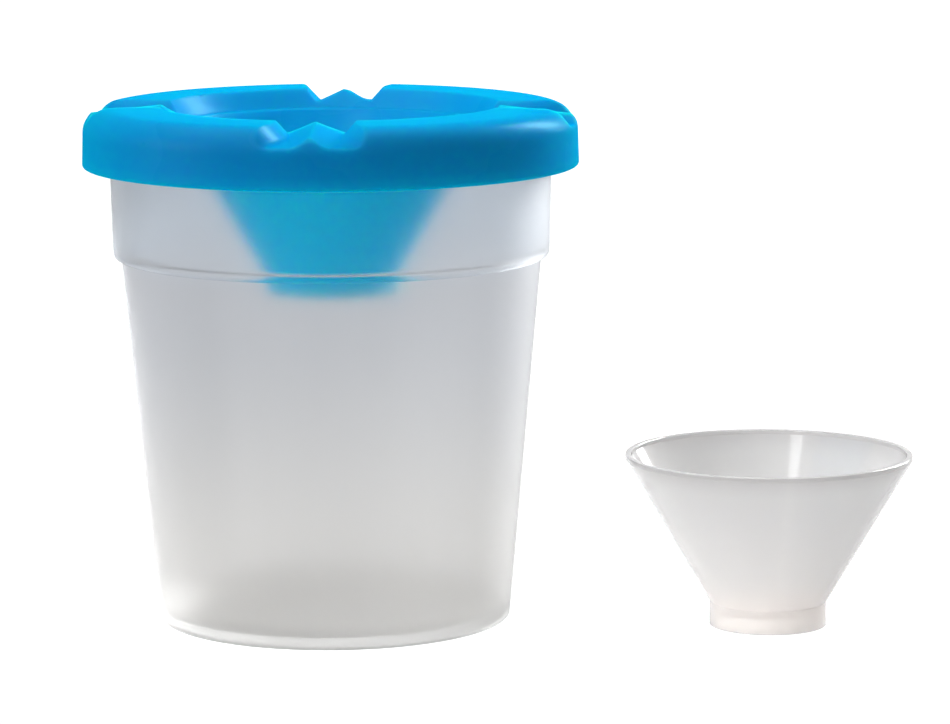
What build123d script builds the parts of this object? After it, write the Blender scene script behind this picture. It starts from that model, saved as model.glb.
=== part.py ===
from build123d import *
import os
from math import atan, cos, tan

os.makedirs("parts", exist_ok=True)

# All lengths are in millimetres. The origin is the centre of the cup's foot, with +Z up.
# The cup is a tapered tumbler with a wider band below its rim. The lid snaps over the rim and
# carries a funnel that keeps paint from spilling, with four pairs of brush rests round its ring.
# The stopper is a small clear cone that plugs the funnel. Here it stands beside the cup.

# The cup
cup_height = 99.0
cup_wall = 1.2
rim_radius = 48.0
rim_overhang = 3.25
band_height = 24.8
band_taper = 0.6
band_step = 1.65
body_taper = 6.65
rim_thickness = 1.5
rim_lip_length = 2.6
floor_thickness = 1.4
foot_height = 0.6
foot_width = 2.0
base_rounding = 0.9
floor_rounding = 1.6
band_rounding = 1.3
rim_rounding = 0.6

# The lid's ring, shoulder and skirt
lid_wall = 1.3
lid_rise = 6.0
lid_height = 12.2
skirt_gap = 0.7
skirt_draft = 0.2
skirt_rounding = 0.6
shoulder_width = 5.6
shoulder_height = 5.2
ring_width = 9.9
ring_drop = 3.8
ring_lean = 3.4
ring_rounding = 0.4
ledge_width = 1.2
seal_ring_inset = 2.6
seal_ring_width = 1.2
snap_clearance = 0.15
snap_bead_height = 1.6
snap_bead_drop = 0.4

# The lid's funnel and the neck at its foot
funnel_depth = 30.7
neck_radius = 12.0
neck_wall = 1.2
neck_length = 3.3

# The brush rests: each is two grooves with a wedge between them, cut across the ring.
# From its middle outwards, a section has the wedge's crest, the valley beside the wedge, a flat
# and the run of the outer wall. Each of these goes evenly from its inner value, at the ring's
# inner wall, to its outer value, past the skirt. The flat widens late, so that the grooves
# flare out over the shoulder. Depths and drops are measured from the top of the lid.
rest_count = 4
lid_turn = -3.0
rest_section_count = 4
rest_inner_valley = 5.6
rest_outer_valley = 3.0
rest_inner_flat = 0.4
rest_outer_flat = 11.0
rest_flare_power = 4
rest_inner_run = 2.0
rest_outer_run = 4.2
rest_inner_depth = 2.5
rest_outer_depth = 3.9
rest_inner_crest_drop = -0.2
rest_outer_crest_drop = 2.0
rest_rounding_share = 0.4
rest_crest_rounding = 0.4

# The stopper
collar_clearance = 0.2
collar_height = 4.8
collar_recess = 2.9
stopper_wall = 1.0
stopper_floor = 1.4
stopper_lip_height = 0.9
stopper_sink = 0.8
stopper_rounding = 0.25
stopper_aside = 9.3
stopper_nearer = 10.9

# One overrun serves all cuts
overrun = 1.0

# Radii, heights and slopes that follow from the sizes above
band_foot_height = cup_height - band_height
band_top_radius = rim_radius - rim_overhang
band_foot_radius = band_top_radius - band_taper
body_top_radius = band_foot_radius - band_step
base_radius = body_top_radius - body_taper
lid_top = cup_height + lid_rise
skirt_foot = lid_top - lid_height
skirt_top = lid_top - shoulder_height
lid_radius = rim_radius + skirt_gap + lid_wall
ring_outer_radius = lid_radius - shoulder_width
ring_inner_radius = ring_outer_radius - ring_width
ledge_radius = ring_inner_radius - ring_lean
funnel_mouth_radius = ledge_radius - ledge_width
ledge_height = lid_top - ring_drop
funnel_foot = ledge_height - funnel_depth
funnel_slope = (funnel_mouth_radius - neck_radius) / funnel_depth


def outline(points, roundings=()):
    """A closed face through (radius, height) points, with some of its corners rounded."""
    face = make_face(Polyline(*points, close=True))
    return soften(face, roundings)


def soften(face, roundings):
    """Round corners of a face. Each rounding is a (corner, fillet radius) pair."""
    for corner, rounding in roundings:
        vertex = face.vertices().sort_by_distance(Vector(*corner))[0]
        face = fillet(vertex, rounding)
    return face


def turned(face):
    """A solid turned about the Z axis from a face of (radius, height)."""
    return revolve(Plane.XZ * face, Axis.Z)


def body_radius(height):
    """Outer radius of the cup below its band."""
    return base_radius + (body_top_radius - base_radius) * height / band_foot_height


def make_cup():
    """The tumbler: foot ring, floor, tapered body, stepped band and outward rim."""
    floor_top = foot_height + floor_thickness
    rim_underside = cup_height - rim_thickness
    ledge = band_foot_height + cup_wall
    foot_ring_inside = (base_radius - foot_width, foot_height)
    base_corner = (base_radius, 0)
    band_corner = (band_foot_radius, band_foot_height)
    lip_foot = (rim_radius, cup_height - rim_lip_length)
    rim_corner = (rim_radius, cup_height)
    mouth_corner = (band_top_radius - cup_wall, cup_height)
    ledge_corner = (band_foot_radius - cup_wall, ledge)
    floor_corner = (body_radius(floor_top) - cup_wall, floor_top)
    return turned(outline([
        (0, foot_height),
        foot_ring_inside,
        (base_radius - foot_width, 0),
        base_corner,
        (body_top_radius, band_foot_height),
        band_corner,
        (band_top_radius, rim_underside),
        (rim_radius - cup_wall, rim_underside),
        (rim_radius - cup_wall, cup_height - rim_lip_length),
        lip_foot,
        rim_corner,
        mouth_corner,
        ledge_corner,
        (body_radius(ledge) - cup_wall, ledge),
        floor_corner,
        (0, floor_top),
    ], [
        (base_corner, base_rounding),
        (band_corner, band_rounding),
        (rim_corner, rim_rounding),
        (mouth_corner, rim_rounding),
        (ledge_corner, band_rounding),
        (floor_corner, floor_rounding),
    ]))


def shoulder(wall):
    """The quarter ellipse of the lid's shoulder, drawn in by a wall."""
    return EllipticalCenterArc(
        (ring_outer_radius, skirt_top),
        shoulder_width - wall, shoulder_height - wall, start_angle=0, arc_size=90)


def funnel_outside(height):
    """Outer radius of the funnel at a height."""
    level_wall = lid_wall / cos(atan(funnel_slope))
    return neck_radius + (height - funnel_foot) * funnel_slope + level_wall


def make_lid_blank():
    """The lid as if it were solid below its ring, with its funnel and neck open."""
    arc = shoulder(0)
    neck_outer = neck_radius + neck_wall
    neck_foot = funnel_foot - neck_length
    neck_top = funnel_foot + (neck_outer - funnel_outside(funnel_foot)) / funnel_slope
    skirt_corner = (lid_radius + skirt_draft, skirt_foot)
    ring_corner = (ring_inner_radius, lid_top)
    rest_of_outline = Polyline(
        arc @ 1,
        ring_corner,
        (ledge_radius, ledge_height),
        (funnel_mouth_radius, ledge_height),
        (neck_radius, funnel_foot),
        (neck_radius, neck_foot),
        (neck_outer, neck_foot),
        (neck_outer, neck_top),
        (funnel_outside(skirt_foot), skirt_foot),
        skirt_corner,
        arc @ 0,
    )
    face = make_face([arc, rest_of_outline])
    return turned(soften(face, [(skirt_corner, skirt_rounding), (ring_corner, ring_rounding)]))


def make_lid_hollow():
    """The space under the ring, between the funnel and the skirt."""
    arc = shoulder(lid_wall)
    inner_wall_slope = ring_lean / ring_drop
    level_wall = lid_wall / cos(atan(inner_wall_slope))
    ring_underside = lid_top - lid_wall
    ledge_underside = ledge_height - lid_wall
    rest_of_outline = Polyline(
        arc @ 1,
        (ring_inner_radius + level_wall - lid_wall * inner_wall_slope, ring_underside),
        (ledge_radius + level_wall - lid_wall * inner_wall_slope, ledge_underside),
        (funnel_outside(ledge_underside), ledge_underside),
        (funnel_outside(skirt_foot), skirt_foot),
        (funnel_outside(skirt_foot), skirt_foot - overrun),
        (lid_radius + skirt_draft - lid_wall, skirt_foot - overrun),
        (lid_radius + skirt_draft - lid_wall, skirt_foot),
        arc @ 0,
    )
    return turned(make_face([arc, rest_of_outline]))


def make_seal_ring():
    """The rib under the ring that stands on the cup's rim."""
    seal_ring_radius = rim_radius - seal_ring_inset
    return turned(outline([
        (seal_ring_radius, cup_height),
        (seal_ring_radius + seal_ring_width, cup_height),
        (seal_ring_radius + seal_ring_width, lid_top),
        (seal_ring_radius, lid_top),
    ]))


def make_snap_bead():
    """The bead inside the skirt that catches below the lip of the cup's rim."""
    bead_top = cup_height - rim_lip_length - snap_bead_drop
    return turned(outline([
        (lid_radius, bead_top),
        (rim_radius + snap_clearance, bead_top - snap_bead_height / 2),
        (lid_radius, bead_top - snap_bead_height),
    ]))


def rest_section(share, wall):
    """A section of a brush rest, at a share of the way out from the ring's inner wall.

    The wall is how much the section is grown all round."""
    reach = ledge_radius + (lid_radius + overrun - ledge_radius) * share
    valley = rest_inner_valley + (rest_outer_valley - rest_inner_valley) * share
    flat = rest_inner_flat + (rest_outer_flat - rest_inner_flat) * share ** rest_flare_power
    run = rest_inner_run + (rest_outer_run - rest_inner_run) * share
    depth = rest_inner_depth + (rest_outer_depth - rest_inner_depth) * share
    crest_drop = rest_inner_crest_drop + (rest_outer_crest_drop - rest_inner_crest_drop) * share
    foot = valley + flat
    widest = foot + run * (depth + overrun) / depth
    face = make_face(Polyline(
        (-widest, overrun), (-foot, -depth), (-valley, -depth), (0, -crest_drop),
        (valley, -depth), (foot, -depth), (widest, overrun), close=True))
    if wall > 0:
        face = offset(face, wall, kind=Kind.INTERSECTION)
    else:
        face = soften(face, [((0, -crest_drop), rest_crest_rounding)])
    at_foot = rest_rounding_share * min(flat, run) / tan(atan(depth / run) / 2)
    at_valley = rest_rounding_share * min(flat, valley) / tan(atan((depth - crest_drop) / valley) / 2)
    corners = face.vertices().sort_by(Axis.Y)[:4].sort_by(Axis.X)
    for corner, rounding in zip(corners, [at_foot, at_valley, at_valley, at_foot]):
        nearest = face.vertices().sort_by_distance(corner)[0]
        face = fillet(nearest, rounding + wall)
    plane = Plane(origin=(reach, 0, lid_top), x_dir=(0, 1, 0), z_dir=(1, 0, 0))
    return plane * face


def make_rests(wall):
    """The space of all brush rests, grown by a wall."""
    shares = [index / (rest_section_count - 1) for index in range(rest_section_count)]
    rest = loft([rest_section(share, wall).faces()[0] for share in shares])
    full_turn = 360
    turns = [lid_turn + full_turn * index / rest_count for index in range(rest_count)]
    return [Rot(0, 0, turn) * rest for turn in turns]


def make_lid():
    """The lid: one moulded wall that follows the ring, the rests, the skirt and the funnel."""
    hollow = make_lid_hollow() - make_seal_ring() - make_snap_bead()
    for rest in make_rests(lid_wall):
        hollow -= rest
    lid = make_lid_blank()
    for rest in make_rests(0):
        lid -= rest
    return lid - hollow


def make_stopper():
    """The clear cone that plugs the funnel, on its hollow collar."""
    collar_radius = neck_radius - collar_clearance
    level_wall = stopper_wall / cos(atan(funnel_slope))
    seated_foot = funnel_foot - collar_clearance / funnel_slope
    height = collar_height + ledge_height - stopper_sink - seated_foot
    lip_foot = height - stopper_lip_height
    rim_radius_outside = collar_radius + (lip_foot - collar_height) * funnel_slope
    floor_top = collar_recess + stopper_floor
    floor_radius = collar_radius + (floor_top - collar_height) * funnel_slope - level_wall
    rim_outside = (rim_radius_outside, height)
    rim_inside = (rim_radius_outside - level_wall, height)
    cone = turned(outline([
        (0, collar_recess),
        (collar_radius - stopper_wall, collar_recess),
        (collar_radius - stopper_wall, 0),
        (collar_radius, 0),
        (collar_radius, collar_height),
        (rim_radius_outside, lip_foot),
        rim_outside,
        rim_inside,
        (rim_radius_outside - level_wall, lip_foot),
        (floor_radius, floor_top),
        (0, floor_top),
    ], [(rim_outside, stopper_rounding), (rim_inside, stopper_rounding)]))
    stand_x = lid_radius + stopper_aside + rim_radius_outside
    return Pos(stand_x, -stopper_nearer, 0) * cone


def main():
    """Build each piece and write it under its own name."""
    pieces = {"cup": make_cup(), "lid": make_lid(), "stopper": make_stopper()}
    for name, piece in pieces.items():
        export_step(piece, f"parts/{name}.step")
        print(name, round(piece.volume), "mm3, valid", piece.is_valid)


main()
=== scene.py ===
from math import radians

import bpy
from mathutils import Euler, Matrix, Vector

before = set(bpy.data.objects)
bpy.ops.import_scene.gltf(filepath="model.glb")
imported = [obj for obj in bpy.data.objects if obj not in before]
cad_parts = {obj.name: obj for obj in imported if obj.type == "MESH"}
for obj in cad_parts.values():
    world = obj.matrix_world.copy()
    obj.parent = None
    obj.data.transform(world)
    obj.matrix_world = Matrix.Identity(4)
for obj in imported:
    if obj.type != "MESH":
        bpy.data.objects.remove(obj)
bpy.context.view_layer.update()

# All lengths are in metres, in the part's own frame: the cup's foot is at the origin, +Z is up,
# the stopper stands on the +X side and the viewer is on the -Y side. The script adds no mesh to
# the object. It gives the three pieces their plastics, and sets up the studio and the camera.
MM = 0.001

# The photograph's camera, as fitted to the rims of the cup and the stopper. Blender takes the
# sensor's width in millimetres.
IMAGE_WIDTH = 950
FOCAL_PIXELS = 4500
SENSOR_WIDTH = 36.0
CAMERA_PLACE = Vector((28.994, -905.666, 192.674)) * MM
CAMERA_PITCH = radians(-8.82)
CAMERA_ROLL = radians(-0.198)
UPRIGHT = radians(90)
FARTHEST_SEEN = 20

WHITE = (1, 1, 1, 1)

# The floor bounces light with one colour and is seen with another, plus a glow that grows from
# near to far, so that it shows white, as the photograph's background does.
FLOOR_SIZE = 6.0
FLOOR_COLOR = (0.62, 0.62, 0.62, 1)
FLOOR_SHOWN_COLOR = (0.4, 0.4, 0.4, 1)
FLOOR_REACH = (0.3, 2.0)
FLOOR_GLOW = (0.68, 0.97)

# The world's strength on the object, and where it is seen
WORLD_STRENGTH = (0.03, 1.0)

# The lamps are area lights aimed at one point, with their powers in watts. One of them shows
# only as a highlight.
AIM = Vector((0.02, 0, 0.06))
SOFTBOXES = {
    "softbox_overhead": dict(place=(-0.4, 0.2, 1.7), size=(1.8, 1.8), power=17.0),
    "softbox_key": dict(place=(-0.43, -0.75, 1.0), size=(0.2, 0.9), power=2.7),
    "softbox_left": dict(place=(-1.4, -0.35, 0.5), size=(0.9, 0.9), power=4.9),
    "softbox_back": dict(place=(0.95, 1.05, 0.72), size=(0.3, 0.95), power=24.0),
    "softbox_glint": dict(place=(1.0, 1.0, 0.83), size=(0.4, 0.55), power=24.0,
                          only_mirrored=True),
}

# Noise scales are in cells per metre. Nearly all of a noise's values lie in this range.
NOISE_RANGE = (0.3, 0.7)

FULL_RANGE = (0, 1)

# How far light spreads in the milky walls of the cup and the stopper, the same for each colour
MILKY_REACH = 3 * MM
EVEN = (1, 1, 1)

# The cup's plastic. Its colours by height are its own grey with painted light on it: darker at
# the foot, a painted shade where it meets the floor, lighter just above, a painted light from the
# floor, and bluer from 70 mm up, a painted shade and blue light from the lid and its funnel. Its
# index is below the real plastic's 1.49, so that the wall bends light less and looks hazy rather
# than like glass.
CUP_GREY_AND_PAINTED_LIGHT = [
    (0.0, (0.39, 0.39, 0.38, 1)),
    (0.0013, (0.68, 0.675, 0.665, 1)),
    (0.006, (0.78, 0.775, 0.765, 1)),
    (0.070, (0.655, 0.668, 0.69, 1)),
    (0.080, (0.65, 0.685, 0.725, 1)),
]
CUP_INDEX = 1.16
CUP_TRANSMISSION = 0.99
CUP_CLOUD = dict(scale=18, detail=3, stretch=(1, 1, 0.35))
CUP_GRAIN = dict(scale=500, detail=2, stretch=(1, 1, 0.2))
CUP_STREAKS = dict(scale=70, detail=2, stretch=(1, 1, 0.05))
CUP_ROUGHNESS = (0.35, 0.41)
CUP_DARKEST_STREAK = 0.965
CUP_GRAIN_DEPTH = 0.002 * MM
CUP_LAMP_TINT = (0.97, 0.97, 0.97, 1)

# The lid's plastic. Its colours go from a lighter, greener blue in the funnel, a painted glow for
# the light that comes through the funnel's thin wall, up to the plain blue of the ring and skirt.
LID_BLUE_AND_PAINTED_GLOW = [
    (0.066, (0.0, 0.50, 0.99, 1)),
    (0.086, (0.0, 0.46, 0.99, 1)),
    (0.096, (0.0, 0.34, 0.99, 1)),
    (0.104, (0.0, 0.33, 0.95, 1)),
]
LID_REACH = 12 * MM
LID_REACH_BY_COLOR = (0.03, 0.8, 0.4)
LID_CLOUD = dict(scale=30, detail=3)
LID_PEEL = dict(scale=350, detail=2)
LID_DARKEST_CLOUD = 0.94
LID_GLOSS = 0.011
LID_GLOSS_COLOR = (0.4, 0.85, 1, 1)
LID_GLOSS_ROUGHNESS = (0.25, 0.31)
LID_PEEL_DEPTH = 0.01 * MM
LID_EDGE_RADIUS = 0.9 * MM
EDGE_SAMPLES = 6

# The stopper's plastic, which is smoother than the cup's. Its colours by height are its own warm
# grey with painted light on it: lighter low down, a painted light from the floor, and darker near
# the rim, a painted shade for the inside of the cone.
STOPPER_GREY_AND_PAINTED_LIGHT = [
    (0.004, (0.78, 0.75, 0.73, 1)),
    (0.012, (0.755, 0.745, 0.735, 1)),
    (0.030, (0.735, 0.73, 0.725, 1)),
    (0.037, (0.62, 0.61, 0.605, 1)),
]
STOPPER_INDEX = 1.49
STOPPER_TRANSMISSION = 0.5
STOPPER_CLOUD = dict(scale=25, detail=3, stretch=(1, 1, 0.4))
STOPPER_GRAIN = dict(scale=700, detail=2)
STOPPER_ROUGHNESS = (0.06, 0.10)
STOPPER_GRAIN_DEPTH = 0.003 * MM
STOPPER_LAMP_TINT = (0.95, 0.95, 0.95, 1)


def new_material(name):
    """A new node material, as (material, nodes, links, its Principled shader)."""
    material = bpy.data.materials.new(name)
    material.use_nodes = True
    nodes = material.node_tree.nodes
    links = material.node_tree.links
    return material, nodes, links, nodes["Principled BSDF"]


def set_inputs(node, values):
    """Put each value in the socket of its name."""
    for socket, value in values.items():
        node.inputs[socket].default_value = value


def noise(nodes, links, scale, detail, stretch=(1, 1, 1)):
    """A noise factor over the piece's own coordinates."""
    place = nodes.new("ShaderNodeTexCoord")
    mapping = nodes.new("ShaderNodeMapping")
    set_inputs(mapping, {"Scale": stretch})
    texture = nodes.new("ShaderNodeTexNoise")
    set_inputs(texture, {"Scale": scale, "Detail": detail})
    links.new(place.outputs["Object"], mapping.inputs["Vector"])
    links.new(mapping.outputs["Vector"], texture.inputs["Vector"])
    return texture.outputs["Fac"]


def spread(nodes, links, value, source, target):
    """The node that takes a value from one (low, high) range to another."""
    node = nodes.new("ShaderNodeMapRange")
    set_inputs(node, {"From Min": source[0], "From Max": source[1],
                      "To Min": target[0], "To Max": target[1]})
    links.new(value, node.inputs["Value"])
    return node


def from_noise(nodes, links, factor, target):
    """A noise's usual range taken to the (low, high) range that is wanted."""
    return spread(nodes, links, factor, NOISE_RANGE, target).outputs["Result"]


def mottled(nodes, links, color, factor, darkest):
    """A colour that a noise darkens here and there, at most down to this share of itself."""
    mix = nodes.new("ShaderNodeMix")
    mix.data_type = "RGBA"
    mix.blend_type = "MULTIPLY"
    set_inputs(mix, {"Factor": 1})
    links.new(color, mix.inputs["A"])
    links.new(from_noise(nodes, links, factor, (darkest, 1)), mix.inputs["B"])
    return mix.outputs["Result"]


def by_height(nodes, links, height_colors):
    """A colour that goes smoothly through (height, colour) pairs, from the lowest up."""
    place = nodes.new("ShaderNodeTexCoord")
    split = nodes.new("ShaderNodeSeparateXYZ")
    links.new(place.outputs["Object"], split.inputs["Vector"])
    lowest = height_colors[0][0]
    highest = height_colors[-1][0]
    share = spread(nodes, links, split.outputs["Z"], (lowest, highest), FULL_RANGE)
    ramp = nodes.new("ShaderNodeValToRGB")
    ramp.color_ramp.interpolation = "EASE"
    stops = ramp.color_ramp.elements
    # A new ramp has two stops already.
    for _ in height_colors[2:]:
        stops.new(1)
    for stop, (height, color) in zip(stops, height_colors):
        stop.position = (height - lowest) / (highest - lowest)
        stop.color = color
    links.new(share.outputs["Result"], ramp.inputs["Fac"])
    return ramp.outputs["Color"]


def bumped(nodes, links, shader, factor, depth, edge_radius=0):
    """A fine bump on a shader. With an edge radius, its edges catch the light as if rounded."""
    bump = nodes.new("ShaderNodeBump")
    set_inputs(bump, {"Strength": 1, "Distance": depth})
    links.new(factor, bump.inputs["Height"])
    if edge_radius:
        soft = nodes.new("ShaderNodeBevel")
        soft.samples = EDGE_SAMPLES
        set_inputs(soft, {"Radius": edge_radius})
        links.new(soft.outputs["Normal"], bump.inputs["Normal"])
    links.new(bump.outputs["Normal"], shader.inputs["Normal"])


def two_shaders(nodes, links, first, second):
    """The node that mixes two shader outputs. Its Fac socket is the second one's share."""
    both = nodes.new("ShaderNodeMixShader")
    links.new(first, both.inputs[1])
    links.new(second, both.inputs[2])
    return both


def let_lamps_through(nodes, links, shader, color):
    """Rays towards the lamps pass the wall, tinted, so that what is inside and behind it is lit."""
    path = nodes.new("ShaderNodeLightPath")
    clear = nodes.new("ShaderNodeBsdfTransparent")
    set_inputs(clear, {"Color": color})
    either = two_shaders(nodes, links, shader.outputs["BSDF"], clear.outputs["BSDF"])
    links.new(path.outputs["Is Shadow Ray"], either.inputs["Fac"])
    links.new(either.outputs["Shader"], nodes["Material Output"].inputs["Surface"])


def make_cup_plastic():
    """Milky translucent polypropylene, satin, with faint flow lines down its wall."""
    material, nodes, links, shader = new_material("cup_polypropylene")
    cloud = noise(nodes, links, **CUP_CLOUD)
    grain = noise(nodes, links, **CUP_GRAIN)
    streaks = noise(nodes, links, **CUP_STREAKS)
    # Its own grey, with painted shade and painted light by height
    tint_and_painted_light = by_height(nodes, links, CUP_GREY_AND_PAINTED_LIGHT)
    color = mottled(nodes, links, tint_and_painted_light, streaks, CUP_DARKEST_STREAK)
    links.new(color, shader.inputs["Base Color"])
    links.new(from_noise(nodes, links, cloud, CUP_ROUGHNESS), shader.inputs["Roughness"])
    set_inputs(shader, {"IOR": CUP_INDEX, "Transmission Weight": CUP_TRANSMISSION,
                        "Subsurface Weight": 1, "Subsurface Radius": EVEN,
                        "Subsurface Scale": MILKY_REACH})
    bumped(nodes, links, shader, grain, CUP_GRAIN_DEPTH)
    let_lamps_through(nodes, links, shader, CUP_LAMP_TINT)
    return material


def make_lid_plastic():
    """Sky-blue polypropylene that light enters, with a soft gloss and a faint orange peel."""
    material, nodes, links, shader = new_material("lid_polypropylene")
    cloud = noise(nodes, links, **LID_CLOUD)
    peel = noise(nodes, links, **LID_PEEL)
    # Its own blue, with a painted glow low down in the funnel
    tint_and_painted_light = by_height(nodes, links, LID_BLUE_AND_PAINTED_GLOW)
    color = mottled(nodes, links, tint_and_painted_light, cloud, LID_DARKEST_CLOUD)
    links.new(color, shader.inputs["Base Color"])
    set_inputs(shader, {"Specular IOR Level": 0, "Subsurface Weight": 1,
                        "Subsurface Radius": LID_REACH_BY_COLOR,
                        "Subsurface Scale": LID_REACH})
    # The gloss is a shader of its own, so that it can be tinted and doesn't wash out the blue.
    gloss = nodes.new("ShaderNodeBsdfAnisotropic")
    set_inputs(gloss, {"Color": LID_GLOSS_COLOR})
    links.new(from_noise(nodes, links, cloud, LID_GLOSS_ROUGHNESS), gloss.inputs["Roughness"])
    both = two_shaders(nodes, links, shader.outputs["BSDF"], gloss.outputs["BSDF"])
    set_inputs(both, {"Fac": LID_GLOSS})
    links.new(both.outputs["Shader"], nodes["Material Output"].inputs["Surface"])
    bumped(nodes, links, shader, peel, LID_PEEL_DEPTH, LID_EDGE_RADIUS)
    bumped(nodes, links, gloss, peel, LID_PEEL_DEPTH, LID_EDGE_RADIUS)
    return material


def make_stopper_plastic():
    """Clear, slightly milky polypropylene."""
    material, nodes, links, shader = new_material("stopper_polypropylene")
    cloud = noise(nodes, links, **STOPPER_CLOUD)
    grain = noise(nodes, links, **STOPPER_GRAIN)
    # Its own warm grey, with painted light low down and painted shade near the rim
    links.new(by_height(nodes, links, STOPPER_GREY_AND_PAINTED_LIGHT), shader.inputs["Base Color"])
    links.new(from_noise(nodes, links, cloud, STOPPER_ROUGHNESS), shader.inputs["Roughness"])
    set_inputs(shader, {"IOR": STOPPER_INDEX, "Transmission Weight": STOPPER_TRANSMISSION,
                        "Subsurface Weight": 1, "Subsurface Radius": EVEN,
                        "Subsurface Scale": MILKY_REACH})
    bumped(nodes, links, shader, grain, STOPPER_GRAIN_DEPTH)
    let_lamps_through(nodes, links, shader, STOPPER_LAMP_TINT)
    return material


def dress(node, material):
    """Give a CAD node this one material, in place of what it came with."""
    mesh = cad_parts[node].data
    mesh.materials.clear()
    mesh.materials.append(material)


def seen_plainly(nodes, links):
    """1 for camera, mirror and glass rays, 0 for the rest."""
    path = nodes.new("ShaderNodeLightPath")
    plainly = path.outputs["Is Camera Ray"]
    for kind in ("Is Glossy Ray", "Is Transmission Ray"):
        larger = nodes.new("ShaderNodeMath")
        larger.operation = "MAXIMUM"
        links.new(plainly, larger.inputs[0])
        links.new(path.outputs[kind], larger.inputs[1])
        plainly = larger.outputs["Value"]
    return plainly


def floor_glow(nodes, links):
    """White light of the floor's own, stronger further from the middle."""
    place = nodes.new("ShaderNodeTexCoord")
    reach = nodes.new("ShaderNodeVectorMath")
    reach.operation = "LENGTH"
    links.new(place.outputs["Object"], reach.inputs[0])
    strength = spread(nodes, links, reach.outputs["Value"], FLOOR_REACH, FLOOR_GLOW)
    strength.interpolation_type = "SMOOTHSTEP"
    glow = nodes.new("ShaderNodeEmission")
    set_inputs(glow, {"Color": WHITE})
    links.new(strength.outputs["Result"], glow.inputs["Strength"])
    return glow.outputs["Emission"]


def diffuse(nodes, color):
    """The output of a plain matt shader."""
    shader = nodes.new("ShaderNodeBsdfDiffuse")
    set_inputs(shader, {"Color": color})
    return shader.outputs["BSDF"]


def make_floor_material():
    """A floor that looks white. The lamps light it, and further out its own glow takes over."""
    material, nodes, links, shader = new_material("floor")
    nodes.remove(shader)
    white = nodes.new("ShaderNodeAddShader")
    links.new(diffuse(nodes, FLOOR_SHOWN_COLOR), white.inputs[0])
    links.new(floor_glow(nodes, links), white.inputs[1])
    bounce = diffuse(nodes, FLOOR_COLOR)
    either = two_shaders(nodes, links, bounce, white.outputs["Shader"])
    links.new(seen_plainly(nodes, links), either.inputs["Fac"])
    links.new(either.outputs["Shader"], nodes["Material Output"].inputs["Surface"])
    return material


def make_floor():
    """The square that the object stands on, which isn't part of it."""
    half = FLOOR_SIZE / 2
    mesh = bpy.data.meshes.new("floor")
    corners = [(-half, -half, 0), (half, -half, 0), (half, half, 0), (-half, half, 0)]
    mesh.from_pydata(corners, [], [(0, 1, 2, 3)])
    mesh.materials.append(make_floor_material())
    floor = bpy.data.objects.new("floor", mesh)
    bpy.context.scene.collection.objects.link(floor)


def make_world():
    """White behind the object, and a low even light on it."""
    world = bpy.data.worlds.new("studio")
    bpy.context.scene.world = world
    world.use_nodes = True
    nodes = world.node_tree.nodes
    links = world.node_tree.links
    background = nodes["Background"]
    set_inputs(background, {"Color": WHITE})
    strength = spread(nodes, links, seen_plainly(nodes, links), FULL_RANGE, WORLD_STRENGTH)
    links.new(strength.outputs["Result"], background.inputs["Strength"])


def make_softbox(name, place, size, power, only_mirrored=False):
    """A rectangular area light aimed at the object. A mirrored one shows as a highlight alone."""
    light = bpy.data.lights.new(name, "AREA")
    light.shape = "RECTANGLE"
    light.size, light.size_y = size
    light.energy = power
    lamp = bpy.data.objects.new(name, light)
    lamp.visible_diffuse = not only_mirrored
    lamp.visible_transmission = not only_mirrored
    lamp.location = place
    lamp.rotation_euler = (AIM - Vector(place)).to_track_quat("-Z", "Y").to_euler()
    bpy.context.scene.collection.objects.link(lamp)


def make_camera():
    """The camera of the photograph."""
    data = bpy.data.cameras.new("camera")
    data.sensor_fit = "HORIZONTAL"
    data.sensor_width = SENSOR_WIDTH
    data.lens = FOCAL_PIXELS * SENSOR_WIDTH / IMAGE_WIDTH
    data.clip_end = FARTHEST_SEEN
    camera = bpy.data.objects.new("camera", data)
    # Unturned, a camera looks straight down.
    looking = Euler((UPRIGHT + CAMERA_PITCH, 0, 0)).to_matrix().to_4x4()
    rolled = Matrix.Rotation(CAMERA_ROLL, 4, "Z")
    camera.matrix_world = Matrix.Translation(CAMERA_PLACE) @ looking @ rolled
    bpy.context.scene.collection.objects.link(camera)
    bpy.context.scene.camera = camera


dress("cup", make_cup_plastic())
dress("lid", make_lid_plastic())
dress("stopper", make_stopper_plastic())
make_floor()
make_world()
for name, box in SOFTBOXES.items():
    make_softbox(name, **box)
make_camera()
bpy.context.scene.view_settings.view_transform = "Standard"
